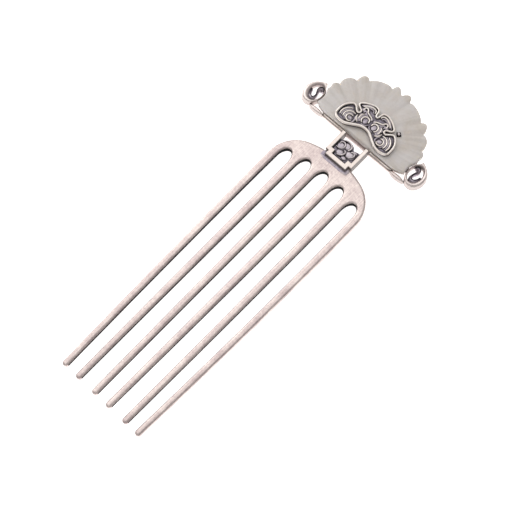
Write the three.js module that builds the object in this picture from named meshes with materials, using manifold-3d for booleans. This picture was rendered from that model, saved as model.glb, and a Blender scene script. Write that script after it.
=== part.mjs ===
// Decorative hair comb: a flat six-toothed silver comb with an openwork neck and a fan-shaped jade
// head, held by a riveted cloud plaque and flanked by two scroll rings.
//
// Frame: millimetres. +X runs across the teeth, +Y from the tooth tips to the jade, +Z out of the
// front face. The origin is on the comb's flat back, on its centre line, in the shoulder plate.

import * as THREE from 'three';
import { mergeVertices } from 'three/addons/utils/BufferGeometryUtils.js';
import Module from 'manifold-3d';

const wasm = await Module();
wasm.setup();

// ---------------------------------------------------------------- driving dimensions

// Comb body: one plate with six teeth.
const plateThickness = 2.6;
const toothTipThickness = 2.0;
const toothCount = 6;
const toothPitch = 6.0;
const toothRootWidth = 2.25;
const toothTipWidth = 1.8;
const toothTipY = -90;
const toothRootY = -12;
const toothBow = 1.6; // power of the gentle curve along which a tooth strays from straight
const toothTipStray = [1.15, 0.1, 0.1, -0.85, -0.85, -2.25]; // hand-set tips, sideways
const crownY = 2.4; // highest point of the shoulder
const crownRadius = 29;
const shoulderRadius = 10;
const slotTopY = -2.9; // top of the middle slot
const slotLineRadius = 44; // the slot tops follow this arc
const slotArchHeight = 3.5;
const bodyEdge = 0.45; // rounding of every long edge

// Gaps filled by solder or setting, and running gaps of the rivets.
const solderGap = 0.08;
const settingGap = 0.15;

// Neck: a stepped frame lapped on to the shoulder, with a relief of clouds in its window.
const headAxisX = -0.25; // the head sits this far off the comb's centre line
const neckFrontZ = 3.7;
const neckHalfWidth = 4.7;
const neckBand = 1.1;
const neckTongueHalfWidth = 3.65;
const neckBottomY = 0.75;
const neckBottomBand = 1.3;
const neckStepY = 2.1;
const neckEdge = 0.12;
const footHeight = 0.3;
const footBelow = 1.1; // how far the solder foot runs down the shoulder below the frame
const footHalfWidth = 4.85;
const footCorner = 0.4; // its upper corners are cut off by this much
const panelBackZ = 1.6;
const panelFrontZ = 2.75;
const panelLobeTopY = 8.25;
const neckWireRadius = 0.24;
const thinEdge = 0.08; // rounding of the thin pieces
const overcut = 1; // how far a cutting body runs past what it cuts

// Head plate, bezels, braces and end rings.
const headPlateBackZ = 0.5;
const headPlateThickness = 0.8;
const headPlateBottomY = 9.55;
const headPlateHalfBase = 12.7;
const headPlateDomeHalfWidth = 13.2;
const headPlateDomeHeight = 11.4;
const headPlateDomeLift = 1; // the dome's centre lies this far above the plate's bottom
const headPlateDomeStart = 25; // degrees above level at which the dome begins
const headPlateDomeStep = 13; // degrees
const headPlateTabHalf = 0.8; // half height of the plate's end beside the ring
const bezelWall = 0.5;
const bezelHeight = 0.9;
const bezelLift = 0.35; // rise of the bezel's outer end
const bezelTip = 0.15; // width left at that end
const ringCentreX = 19.0; // from the head's axis
const ringCentreY = 13.3;
const ringOuterHalfWidth = 3.0;
const ringOuterHalfHeight = 4.0;
const ringThinBand = 0.55; // width of the band on the side next to the jade
const ringThickBand = 1.65; // and on the outer side
const ringFootBand = 1.5;
const ringTopBand = 1.0;
const ringBackZ = 0.5;
const ringFrontZ = 2.9;
const ringEdge = 0.15;
const curlWidth = 0.8;
const curlFrontZ = 2.2;
const braceHalfLength = 2.2;
const braceHalfHeight = 0.66;
const braceFrontZ = 2.3;

// Jade fan.
const fanCentreY = 12.5;
const fanNotchRadius = 16.5;
const fanNotchGrowth = 0.45; // how much further out the notches lie at the fan's ends
const jadeThickness = 2.25;
const jadeEdge = 0.5;
const fanFootHalfWidth = 12.4;
const fanCornerInset = 1.5; // the corner beside the ring is ground off, this far in from the fan's side
const fanCornerRise = 0.42;
const fanRingGap = 0.25;
const fanSideStart = 122; // degrees around the ring's centre where the fan's side runs along the ring
const fanSideEnd = 206;
const fanSideStep = 14;
const lobePoints = 8;
// Each lobe from the middle outwards: its angle, its rise, where its peak lies and how round it is.
const fanLobes = [
  { span: 11.3, rise: 1.65, peak: 0.58, roundness: 0.85 },
  { span: 23.4, rise: 0.62, peak: 0.4, roundness: 0.55 },
  { span: 12.5, rise: 1.45, peak: 0.36, roundness: 0.8 },
  { span: 17.0, rise: 1.1, peak: 0.48, roundness: 0.7 },
  { span: 9.5, rise: 0.85, peak: 0.52, roundness: 0.75 },
];

// Cloud plaque in front of the jade.
const cloudAxisX = -0.45;
const cloudBaseY = 10.8; // level of the two low bends of the bow wire
const cloudHalfWidth = 9.55;
const cloudHeight = 9.85;
const cloudGap = 0.1; // between the jade and the plaque
const cloudPlateThickness = 0.45;
const cloudPlateMargin = 0.22; // plate beyond the centre of its rim wire
const bowRadius = 0.43;
const rimRadius = 0.25;
const scrollRadius = 0.2;

// Rivets.
const postHalfSpan = 4.2;
const postY = 14.6;
const postRadius = 0.55;
const rivetHeadRadius = 1.0;
const rivetHeadHeight = 0.4;
const rivetHeadEdge = 0.13;
const rivetFit = 0.1;
const pinBeyond = 0.44; // the small pin sits this far outside the top of the plaque's outer lobe
const pinAbove = 1.6; // and this far above it
const pinRadius = 0.34;
const pinBackRadius = 0.8;
const pinHeadFlare = 0.12; // its head is this much wider than its shank
const pinHeadHeight = 0.3;
const lozengeHalfWidth = 0.75;
const lozengeHeight = 0.25;
const slipFit = 0.04; // play between the pin, its washer and what they lie on

// ---------------------------------------------------------------- levels that follow from them

const headPlateFrontZ = headPlateBackZ + headPlateThickness;
const jadeBackZ = headPlateFrontZ + solderGap;
const jadeFrontZ = jadeBackZ + jadeThickness;
const cloudPlateBackZ = jadeFrontZ + cloudGap;
const cloudPlateFrontZ = cloudPlateBackZ + cloudPlateThickness;
const jadeFootY = headPlateBottomY + bezelWall + settingGap;

// ---------------------------------------------------------------- finishes

const silver = new THREE.MeshStandardMaterial({ color: '#ddd2cb', roughness: 0.38, metalness: 1 });
const brightSilver = new THREE.MeshStandardMaterial({ color: '#efe6dc', roughness: 0.25, metalness: 1 });
const oxidised = new THREE.MeshStandardMaterial({ color: '#5d5762', roughness: 0.5, metalness: 1 });
const blackened = new THREE.MeshStandardMaterial({ color: '#2c2a2b', roughness: 0.45, metalness: 1 });
const jade = new THREE.MeshStandardMaterial({ color: '#c8cac0', roughness: 0.22, metalness: 0 });

// ---------------------------------------------------------------- helpers

const comb = new THREE.Group();

function add(name, geometry, material, x = 0) {
  const mesh = new THREE.Mesh(geometry, material.clone());
  mesh.name = name;
  mesh.position.x = x;
  comb.add(mesh);
}

const point = (x, y) => new THREE.Vector2(x, y);
const lerp = THREE.MathUtils.lerp;
const radians = THREE.MathUtils.degToRad;

// A flat piece between two levels, with its edges rounded off by edge.
function slab(shape, lowZ, highZ, edge = 0, segments = 2) {
  const geometry = new THREE.ExtrudeGeometry(shape, {
    depth: highZ - lowZ - 2 * edge,
    bevelEnabled: edge > 0,
    bevelThickness: edge,
    bevelSize: edge,
    bevelOffset: -edge,
    bevelSegments: segments,
    curveSegments: 12,
  });
  return geometry.translate(0, 0, lowZ + edge);
}

// A round wire through the given points, lying on the level baseZ.
function wire(points, baseZ, radius, steps, sides = 5) {
  const section = [];
  for (let i = 0; i < sides; i += 1) {
    const turn = (2 * Math.PI * i) / sides;
    section.push(point(radius * Math.cos(turn), radius * Math.sin(turn)));
  }
  const centreZ = baseZ + radius;
  const path = new THREE.CatmullRomCurve3(points.map((p) => new THREE.Vector3(p.x, p.y, centreZ)));
  return new THREE.ExtrudeGeometry(new THREE.Shape(section), { steps, extrudePath: path, bevelEnabled: false });
}

// Points on an arc whose radius may change evenly from its first to its last angle, in degrees.
function arcPoints(centreX, centreY, startRadius, endRadius, startAngle, endAngle, count) {
  const points = [];
  for (let i = 0; i <= count; i += 1) {
    const angle = radians(lerp(startAngle, endAngle, i / count));
    const radius = lerp(startRadius, endRadius, i / count);
    points.push(point(centreX + radius * Math.cos(angle), centreY + radius * Math.sin(angle)));
  }
  return points;
}

const mirrored = (points) => points.map((p) => point(-p.x, p.y));

// One side's points and their mirror image, joined into a run that starts on the far side.
function bothSides(points) {
  const onAxis = Math.abs(points[0].x) < 1e-9 ? 1 : 0;
  return [...mirrored(points).reverse(), ...points.slice(onAxis)];
}

function toManifold(geometry) {
  const bare = geometry.clone();
  bare.deleteAttribute('normal');
  bare.deleteAttribute('uv');
  const merged = mergeVertices(bare, 1e-5);
  return new wasm.Manifold(new wasm.Mesh({
    numProp: 3,
    vertProperties: new Float32Array(merged.attributes.position.array),
    triVerts: new Uint32Array(merged.index.array),
  }));
}

function toGeometry(solid) {
  const mesh = solid.getMesh();
  const geometry = new THREE.BufferGeometry();
  geometry.setAttribute('position', new THREE.BufferAttribute(new Float32Array(mesh.vertProperties), 3));
  geometry.setIndex(new THREE.BufferAttribute(new Uint32Array(mesh.triVerts), 1));
  geometry.computeVertexNormals();
  return geometry;
}

// Cuts tools out of a piece.
function cut(geometry, ...tools) {
  let solid = toManifold(geometry);
  for (const tool of tools) solid = solid.subtract(toManifold(tool));
  return toGeometry(solid);
}

function drill(x, y, radius, lowZ, highZ) {
  const height = highZ - lowZ + 2 * overcut;
  const cylinder = new THREE.CylinderGeometry(radius, radius, height, 16);
  return cylinder.rotateX(Math.PI / 2).translate(x, y, (lowZ + highZ) / 2);
}

// ---------------------------------------------------------------- comb body

const toothHalfRoot = toothRootWidth / 2;
const toothHalfTip = toothTipWidth / 2;
const toothX = (index) => (index - (toothCount - 1) / 2) * toothPitch;
const bodyHalfWidth = toothX(toothCount - 1) + toothHalfRoot;

// Share of the tooth's length at height y, from 0 at its root to 1 at its tip.
function toothShare(y) {
  return THREE.MathUtils.clamp((toothRootY - y) / (toothRootY - toothTipY), 0, 1);
}

function toothEdge(index, side, y) {
  const share = toothShare(y);
  const centre = toothX(index) + toothTipStray[index] * share ** toothBow;
  return point(centre + side * lerp(toothHalfRoot, toothHalfTip, share), y);
}

function slotTop(x) {
  return slotTopY - (slotLineRadius - Math.sqrt(slotLineRadius ** 2 - x ** 2));
}

// The shoulder is a shallow crown that runs tangent into a round corner and then the outer tooth.
function shoulderPoints() {
  const cornerX = bodyHalfWidth - shoulderRadius;
  const crownCentreY = crownY - crownRadius;
  const reach = crownRadius - shoulderRadius;
  const cornerY = crownCentreY + Math.sqrt(reach ** 2 - cornerX ** 2);
  const joint = THREE.MathUtils.radToDeg(Math.atan2(cornerY - crownCentreY, cornerX));
  const corner = arcPoints(cornerX, cornerY, shoulderRadius, shoulderRadius, joint, 0, 7);
  const crown = arcPoints(0, crownCentreY, crownRadius, crownRadius, 90, joint, 5);
  return bothSides([...crown.slice(0, -1), ...corner]);
}

function toothPoints(index) {
  const steps = 5;
  const lowY = toothTipY + toothHalfTip;
  const left = [];
  const right = [];
  for (let i = 0; i <= steps; i += 1) {
    const y = lerp(toothRootY, lowY, i / steps);
    left.push(toothEdge(index, -1, y));
    right.unshift(toothEdge(index, 1, y));
  }
  const tipCentre = (left[steps].x + right[0].x) / 2;
  const tipHalf = (right[0].x - left[steps].x) / 2;
  const tip = arcPoints(tipCentre, lowY, tipHalf, tipHalf, 180, 360, 6).slice(1, -1);
  return [...left, ...tip, ...right];
}

function slotPoints(index) {
  const centre = (toothX(index) + toothX(index + 1)) / 2;
  const halfWidth = (toothPitch - toothRootWidth) / 2;
  const baseY = slotTop(centre) - slotArchHeight;
  const points = [];
  const steps = 8;
  for (let i = 0; i <= steps; i += 1) {
    const turn = Math.PI * (1 - i / steps);
    points.push(point(centre + halfWidth * Math.cos(turn), baseY + slotArchHeight * Math.sin(turn)));
  }
  return points;
}

function combBody() {
  const outline = [...shoulderPoints()].reverse();
  for (let index = 0; index < toothCount; index += 1) {
    outline.push(...toothPoints(index));
    if (index < toothCount - 1) outline.push(...slotPoints(index));
  }
  const geometry = slab(new THREE.Shape(outline), 0, plateThickness, bodyEdge);
  const position = geometry.attributes.position;
  const thinning = 1 - toothTipThickness / plateThickness;
  for (let i = 0; i < position.count; i += 1) {
    position.setZ(i, position.getZ(i) * (1 - thinning * toothShare(position.getY(i))));
  }
  return geometry;
}

add('comb_body', combBody(), silver);

// ---------------------------------------------------------------- neck

const neckTopY = headPlateBottomY - solderGap;
const neckInnerHalf = neckHalfWidth - neckBand;
const tongueInnerHalf = neckTongueHalfWidth - neckBottomBand;
const windowBottomY = neckBottomY + neckBottomBand;
const windowStepY = neckStepY + neckBottomBand;
const neckBackY = crownY + solderGap;

// The frame's foot laps over the shoulder; behind the front layer it stops at the plate's edge.
function neckFrame() {
  const outer = [
    point(neckTongueHalfWidth, neckBottomY),
    point(neckTongueHalfWidth, neckStepY),
    point(neckHalfWidth, neckStepY),
    point(neckHalfWidth, neckTopY),
  ];
  const inner = [
    point(neckInnerHalf, neckTopY),
    point(neckInnerHalf, windowStepY),
    point(tongueInnerHalf, windowStepY),
    point(tongueInnerHalf, windowBottomY),
  ];
  const right = [...outer, ...inner];
  const outline = new THREE.Shape([...right, ...mirrored(right).reverse()]);
  const frame = slab(outline, 0, neckFrontZ, neckEdge, 1);
  const lapDepth = neckBackY - neckBottomY + overcut;
  const lapHeight = plateThickness + solderGap + overcut;
  const lap = new THREE.BoxGeometry(2 * (neckHalfWidth + overcut), lapDepth, lapHeight);
  lap.translate(0, neckBackY - lapDepth / 2, lapHeight / 2 - overcut);
  return cut(frame, lap);
}

function neckFoot() {
  const innerHalf = neckTongueHalfWidth + solderGap;
  const innerY = neckBottomY - solderGap;
  const topY = neckStepY - solderGap;
  const right = [
    point(footHalfWidth, neckBottomY - footBelow),
    point(footHalfWidth, topY - footCorner),
    point(footHalfWidth - footCorner, topY),
    point(innerHalf, topY),
    point(innerHalf, innerY),
  ];
  const outline = new THREE.Shape([...right, ...mirrored(right).reverse()]);
  const footBackZ = plateThickness + solderGap;
  return slab(outline, footBackZ, footBackZ + footHeight, thinEdge, 1);
}

// Relief plate in the window: a tall round lobe on the left and a lower one on the right.
function neckPanel() {
  const half = neckInnerHalf - solderGap;
  const tongue = tongueInnerHalf - solderGap;
  const stepY = windowStepY + solderGap;
  const lobes = new THREE.SplineCurve([
    point(half, panelLobeTopY - 0.9), point(0.75 * half, panelLobeTopY - 0.95),
    point(0.45 * half, panelLobeTopY - 1.3), point(0.24 * half, panelLobeTopY - 0.5),
    point(-0.1 * half, panelLobeTopY), point(-0.5 * half, panelLobeTopY - 0.1),
    point(-half, panelLobeTopY - 0.9),
  ]);
  const outline = new THREE.Shape([
    point(-half, stepY), point(-tongue, stepY), point(-tongue, neckBackY),
    point(tongue, neckBackY), point(tongue, stepY), point(half, stepY), ...lobes.getPoints(18),
  ]);
  return slab(outline, panelBackZ, panelFrontZ, thinEdge, 1);
}

const neckWires = {
  neck_scroll_left: [
    point(-3.1, 4.75), point(-2.2, 4.75), point(-1.4, 5.15), point(-1.05, 5.9),
    point(-1.35, 6.65), point(-2.1, 6.95), point(-2.75, 6.5), point(-2.85, 6.0),
  ],
  neck_scroll_right: [
    point(1.1, 4.1), point(1.9, 4.25), point(2.5, 4.8), point(2.75, 5.5),
    point(2.4, 6.05), point(1.8, 6.2), point(1.35, 5.85),
  ],
  neck_arch: [
    point(-2.7, 7.35), point(-1.6, 7.85), point(-0.6, 7.85), point(0.3, 7.5),
    point(0.72, 6.8), point(0.62, 6.2), point(0.35, 5.75),
  ],
  neck_lobe: [
    point(-0.45, 5.2), point(0.1, 4.95), point(0.25, 4.4), point(0.02, 3.7),
    point(-0.6, 3.2), point(-1.5, 3.0),
  ],
};

add('neck_frame', neckFrame(), brightSilver, headAxisX);
add('neck_foot', neckFoot(), oxidised, headAxisX);
add('neck_panel', neckPanel(), oxidised, headAxisX);
for (const [name, points] of Object.entries(neckWires)) {
  add(name, wire(points, panelFrontZ + solderGap, neckWireRadius, 14), silver, headAxisX);
}

// ---------------------------------------------------------------- rivet places

// Points of the plaque's right half, as shares of its half width and height above its base.
const cloudPoint = (u, v) => point(u * cloudHalfWidth, cloudBaseY + v * cloudHeight);
const outerLobeTop = cloudPoint(0.765, 0.655);
const pinX = cloudAxisX + outerLobeTop.x + pinBeyond;
const pinY = outerLobeTop.y + pinAbove;

const rivets = [
  { x: cloudAxisX - postHalfSpan, y: postY, radius: postRadius },
  { x: cloudAxisX + postHalfSpan, y: postY, radius: postRadius },
  { x: pinX, y: pinY, radius: pinRadius },
];

function rivetHoles(lowZ, highZ) {
  return rivets.map((r) => drill(r.x - headAxisX, r.y, r.radius + rivetFit, lowZ, highZ));
}

// ---------------------------------------------------------------- head plate, bezels and braces

const ringInnerSideX = ringCentreX - ringOuterHalfWidth;
const braceCentreX = headPlateHalfBase + solderGap + braceHalfLength;
const braceCentreY = headPlateBottomY + solderGap;

function headPlate() {
  const endX = ringInnerSideX - settingGap;
  const hipX = headPlateHalfBase + 0.25;
  const hipY = headPlateBottomY + 2 * braceHalfHeight;
  const outline = new THREE.Shape();
  outline.moveTo(-headPlateHalfBase, headPlateBottomY);
  outline.lineTo(headPlateHalfBase, headPlateBottomY);
  outline.quadraticCurveTo(hipX, hipY, endX, ringCentreY - headPlateTabHalf);
  outline.lineTo(endX, ringCentreY + headPlateTabHalf);
  outline.lineTo(headPlateDomeHalfWidth, ringCentreY + 2 * headPlateTabHalf);
  for (let angle = headPlateDomeStart; angle <= 180 - headPlateDomeStart; angle += headPlateDomeStep) {
    const turn = radians(angle);
    outline.lineTo(
      headPlateDomeHalfWidth * Math.cos(turn),
      headPlateBottomY + headPlateDomeLift + headPlateDomeHeight * Math.sin(turn));
  }
  outline.lineTo(-headPlateDomeHalfWidth, ringCentreY + 2 * headPlateTabHalf);
  outline.lineTo(-endX, ringCentreY + headPlateTabHalf);
  outline.lineTo(-endX, ringCentreY - headPlateTabHalf);
  outline.quadraticCurveTo(-hipX, hipY, -headPlateHalfBase, headPlateBottomY);
  const plate = slab(outline, headPlateBackZ, headPlateFrontZ);
  return cut(plate, ...rivetHoles(headPlateBackZ, headPlateFrontZ));
}

// A low wall that holds the foot of the jade; its outer end lifts towards the brace.
function bezel(side) {
  const innerX = side * (neckHalfWidth + settingGap);
  const outerX = side * headPlateHalfBase;
  const bendX = side * lerp(neckHalfWidth, headPlateHalfBase, 0.75);
  const low = headPlateBottomY;
  const outline = new THREE.Shape();
  outline.moveTo(innerX, low);
  outline.lineTo(bendX, low);
  outline.quadraticCurveTo(lerp(bendX, outerX, 0.5), low, outerX, low + bezelLift);
  outline.lineTo(outerX, low + bezelLift + bezelTip);
  outline.quadraticCurveTo(lerp(bendX, outerX, 0.5), low + bezelWall, bendX, low + bezelWall);
  outline.lineTo(innerX, low + bezelWall);
  const lowZ = headPlateFrontZ + solderGap;
  return slab(outline, lowZ, lowZ + bezelHeight, thinEdge, 1);
}

// A leaf that bridges from the bezel's end to the foot of the ring.
function brace() {
  const outline = ellipsePath(THREE.Shape, 0, 0, braceHalfLength, braceHalfHeight);
  return slab(outline, headPlateBackZ, braceFrontZ, neckEdge, 1);
}

function ellipsePath(PathClass, centreX, centreY, halfWidth, halfHeight) {
  const path = new PathClass();
  path.absellipse(centreX, centreY, halfWidth, halfHeight, 0, 2 * Math.PI);
  return path;
}

// ---------------------------------------------------------------- end rings and their curls

// The ring's opening lies off its centre, so that the band is thin beside the jade and thick outside.
const openingHalfWidth = ringOuterHalfWidth - (ringThinBand + ringThickBand) / 2;
const openingHalfHeight = ringOuterHalfHeight - (ringFootBand + ringTopBand) / 2;
const openingX = (ringThinBand - ringThickBand) / 2;
const openingY = (ringFootBand - ringTopBand) / 2;

// Outline points as shares of the outer half width and height; the tail at the top leans on the jade.
const ringShares = [
  [-0.7, -0.71], [-0.52, -0.87], [-0.27, -0.965], [0.03, -1], [0.37, -0.95], [0.63, -0.8],
  [0.83, -0.58], [0.96, -0.32], [1, -0.02], [0.94, 0.27], [0.78, 0.53], [0.53, 0.75], [0.22, 0.93],
  [-0.08, 1.06], [-0.32, 1.14], [-0.43, 1.11], [-0.44, 1.0], [-0.55, 0.86], [-0.72, 0.7],
  [-0.866, 0.5], [-0.96, 0.28], [-1, 0], [-0.966, -0.26], [-0.866, -0.5],
];

function endRing(side) {
  const outline = new THREE.Shape(ringShares.map(([u, v]) => (
    point(side * u * ringOuterHalfWidth, v * ringOuterHalfHeight))));
  outline.holes.push(ellipsePath(
    THREE.Path, side * openingX, openingY, openingHalfWidth, openingHalfHeight));
  return slab(outline, ringBackZ, ringFrontZ, ringEdge);
}

// An S-shaped strip inside the ring: one hook opens upwards at the foot, the other downwards at the top.
function endCurl(side) {
  const reachX = openingHalfWidth - curlWidth / 2 - settingGap;
  const reachY = openingHalfHeight - curlWidth / 2 - settingGap;
  const turns = [
    [0.95, 0.15], [0.85, -0.5], [0.15, -0.98], [-0.5, -0.65],
    [-0.3, -0.1], [0.05, 0.4], [-0.2, 0.9], [-0.8, 0.65],
  ];
  const centreLine = new THREE.CatmullRomCurve3(
    turns.map(([u, v]) => new THREE.Vector3(openingX + u * reachX, openingY + v * reachY, 0)));
  const steps = 16;
  const left = [];
  const right = [];
  for (let i = 0; i <= steps; i += 1) {
    const share = i / steps;
    const centre = centreLine.getPoint(share);
    const along = centreLine.getTangent(share);
    const half = (curlWidth / 2) * (0.4 + 0.6 * Math.sin(Math.PI * share) ** 0.7);
    left.push(point(side * (centre.x - along.y * half), centre.y + along.x * half));
    right.unshift(point(side * (centre.x + along.y * half), centre.y - along.x * half));
  }
  return slab(new THREE.Shape([...left, ...right]), ringBackZ + thinEdge, curlFrontZ);
}

add('head_plate', headPlate(), silver, headAxisX);
for (const [word, side] of [['left', -1], ['right', 1]]) {
  const ringX = side * ringCentreX;
  add(`bezel_${word}`, bezel(side), brightSilver, headAxisX);
  add(`brace_${word}`, brace().translate(side * braceCentreX, braceCentreY, 0), silver, headAxisX);
  add(`end_ring_${word}`, endRing(side).translate(ringX, ringCentreY, 0), silver, headAxisX);
  add(`end_curl_${word}`, endCurl(side).translate(ringX, ringCentreY, 0), oxidised, headAxisX);
}

// ---------------------------------------------------------------- jade fan

// Outline of the right half from the middle notch outwards.
function fanEdge() {
  const total = fanLobes.reduce((sum, lobe) => sum + lobe.span, 0);
  const points = [];
  let start = 0;
  for (const lobe of fanLobes) {
    const skew = Math.log(0.5) / Math.log(lobe.peak);
    for (let i = 0; i < lobePoints; i += 1) {
      const share = i / lobePoints;
      const angle = start + lobe.span * share;
      const bump = Math.sin(Math.PI * share ** skew) ** lobe.roundness;
      const radius = fanNotchRadius + fanNotchGrowth * (angle / total) + lobe.rise * bump;
      const turn = radians(angle);
      points.push(point(radius * Math.sin(turn), fanCentreY + radius * Math.cos(turn)));
    }
    start += lobe.span;
  }
  return points;
}

// Below the last lobe the edge follows the end ring at a set gap, down to the jade's straight foot.
function fanSide() {
  const halfWidth = ringOuterHalfWidth + fanRingGap;
  const halfHeight = ringOuterHalfHeight + fanRingGap;
  const points = [];
  for (let angle = fanSideStart; angle <= fanSideEnd; angle += fanSideStep) {
    const turn = radians(angle);
    points.push(point(ringCentreX + halfWidth * Math.cos(turn), ringCentreY + halfHeight * Math.sin(turn)));
  }
  const corner = points[points.length - 1];
  points.push(point(corner.x - fanCornerInset, jadeFootY + fanCornerRise));
  points.push(point(fanFootHalfWidth, jadeFootY));
  return points;
}

function jadeFan() {
  const right = [...fanEdge(), ...fanSide()];
  const outline = new THREE.Shape(bothSides(right).reverse());
  const fan = slab(outline, jadeBackZ, jadeFrontZ, jadeEdge, 2);
  return cut(fan, ...rivetHoles(jadeBackZ, jadeFrontZ));
}

add('jade_fan', jadeFan(), jade, headAxisX);

// ---------------------------------------------------------------- cloud plaque

const bowHalf = [
  cloudPoint(0, 0.27), cloudPoint(0.15, 0.25), cloudPoint(0.29, 0.175), cloudPoint(0.435, 0.09),
  cloudPoint(0.57, 0.02), cloudPoint(0.68, 0), cloudPoint(0.82, 0.005), cloudPoint(0.93, 0.045),
  cloudPoint(0.985, 0.11),
];

// From the bow's end: outer lobe, side inlet, upper lobe and the inlet at the top.
const rimHalf = [
  cloudPoint(0.995, 0.17), cloudPoint(1, 0.26), cloudPoint(0.985, 0.38), cloudPoint(0.94, 0.49),
  cloudPoint(0.86, 0.59), outerLobeTop, cloudPoint(0.68, 0.63), cloudPoint(0.6, 0.56),
  cloudPoint(0.525, 0.52), cloudPoint(0.465, 0.555), cloudPoint(0.475, 0.625), cloudPoint(0.555, 0.672),
  cloudPoint(0.63, 0.725), cloudPoint(0.645, 0.785), cloudPoint(0.585, 0.845), cloudPoint(0.48, 0.915),
  cloudPoint(0.335, 0.98), cloudPoint(0.18, 1), cloudPoint(0.09, 0.96), cloudPoint(0.058, 0.87),
  cloudPoint(0.042, 0.79), cloudPoint(0, 0.755),
];

// The plate follows the rim's and the bow's centre line at a set margin outside it.
function cloudPlate() {
  const rimRun = bothSides([...rimHalf].reverse());
  const loop = [...rimRun, ...bothSides(bowHalf).reverse()];
  const curve = new THREE.CatmullRomCurve3(loop.map((p) => new THREE.Vector3(p.x, p.y, 0)), true);
  const steps = 120;
  const outline = [];
  for (let i = 0; i < steps; i += 1) {
    const place = curve.getPointAt(i / steps);
    const along = curve.getTangentAt(i / steps);
    outline.push(point(place.x - along.y * cloudPlateMargin, place.y + along.x * cloudPlateMargin));
  }
  return slab(new THREE.Shape(outline), cloudPlateBackZ, cloudPlateFrontZ);
}

const outerEye = cloudPoint(0.58, 0.24);
const innerEye = cloudPoint(0.162, 0.47);

// Wires that repeat on both sides of the plaque.
const cloudWires = {
  outer_scroll: arcPoints(outerEye.x, outerEye.y, 1.1, 1.0, 115, -150, 7),
  outer_contour: arcPoints(outerEye.x, outerEye.y, 2.0, 2.0, 105, -25, 5),
  outer_ridge: arcPoints(outerEye.x, outerEye.y, 3.0, 3.05, 68, -18, 5),
  inner_scroll: arcPoints(innerEye.x, innerEye.y, 0.95, 1.3, 185, -60, 7),
  inner_contour: arcPoints(innerEye.x, innerEye.y, 2.1, 2.1, 40, -25, 4),
  divider: [cloudPoint(0.465, 0.46), cloudPoint(0.455, 0.385), cloudPoint(0.4, 0.32), cloudPoint(0.335, 0.285)],
  hook: [
    cloudPoint(0.425, 0.68), cloudPoint(0.435, 0.75), cloudPoint(0.392, 0.795), cloudPoint(0.33, 0.775),
    cloudPoint(0.288, 0.71), cloudPoint(0.2, 0.675), cloudPoint(0.105, 0.645), cloudPoint(0.055, 0.6),
  ],
  crest: [
    cloudPoint(0.11, 0.82), cloudPoint(0.14, 0.895), cloudPoint(0.22, 0.92), cloudPoint(0.335, 0.893),
    cloudPoint(0.45, 0.83), cloudPoint(0.51, 0.765),
  ],
};

const wireBaseZ = cloudPlateFrontZ + solderGap;
add('cloud_plate', cloudPlate(), oxidised, cloudAxisX);
add('cloud_bow', wire(bothSides(bowHalf), wireBaseZ, bowRadius, 44, 8), brightSilver, cloudAxisX);
add('cloud_rim', wire(bothSides([...rimHalf].reverse()), wireBaseZ, rimRadius, 88), brightSilver, cloudAxisX);
for (const [name, points] of Object.entries(cloudWires)) {
  add(`cloud_${name}_left`, wire(mirrored(points), wireBaseZ, scrollRadius, 14), brightSilver, cloudAxisX);
  add(`cloud_${name}_right`, wire(points, wireBaseZ, scrollRadius, 14), brightSilver, cloudAxisX);
}

// ---------------------------------------------------------------- rivets

// A turned pin from the comb's back: a flat head behind the plate, then the shank.
function rivet(radius, headRadius, topZ, capRadius = 0, capHeight = 0) {
  const profile = [
    point(0, 0),
    point(headRadius - rivetHeadEdge, 0),
    point(headRadius, rivetHeadEdge),
    point(headRadius, rivetHeadHeight),
    point(radius, rivetHeadHeight),
    point(radius, topZ),
  ];
  if (capHeight > 0) profile.push(point(capRadius, topZ), point(0.7 * capRadius, topZ + 0.8 * capHeight));
  profile.push(point(0, topZ + capHeight));
  return new THREE.LatheGeometry(profile, 16).rotateX(Math.PI / 2);
}

function lozenge() {
  const outline = new THREE.Shape();
  const waist = 0.5 * lozengeHalfWidth;
  outline.moveTo(lozengeHalfWidth, 0);
  for (let corner = 1; corner <= 4; corner += 1) {
    const turn = (corner * Math.PI) / 2;
    const middle = turn - Math.PI / 4;
    outline.quadraticCurveTo(
      waist * Math.cos(middle), waist * Math.sin(middle),
      lozengeHalfWidth * Math.cos(turn), lozengeHalfWidth * Math.sin(turn));
  }
  outline.holes.push(ellipsePath(THREE.Path, 0, 0, pinRadius + slipFit, pinRadius + slipFit));
  return slab(outline, 0, lozengeHeight);
}

const postTopZ = cloudPlateBackZ - slipFit;
add('post_left', rivet(postRadius, rivetHeadRadius, postTopZ).translate(rivets[0].x, rivets[0].y, 0), silver);
add('post_right', rivet(postRadius, rivetHeadRadius, postTopZ).translate(rivets[1].x, rivets[1].y, 0), silver);

const lozengeZ = jadeFrontZ + slipFit;
const pinTopZ = lozengeZ + lozengeHeight + slipFit;
const pin = rivet(pinRadius, pinBackRadius, pinTopZ, pinRadius + pinHeadFlare, pinHeadHeight);
add('jade_pin', pin.translate(pinX, pinY, 0), blackened);
add('jade_pin_washer', lozenge().translate(pinX, pinY, lozengeZ), blackened);

export default comb;
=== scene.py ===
# %% [markdown]
# # A silver hair comb with a jade fan
# The comb is one flat silver plate with six teeth. An openwork neck is soldered to its shoulder and
# carries a thin head plate, and a carved slice of jade is riveted to that plate under a cloud plaque.
# The imported model gives every place and size, so it is loaded first and its box is kept.

# %% Load the imported model
import math

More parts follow.
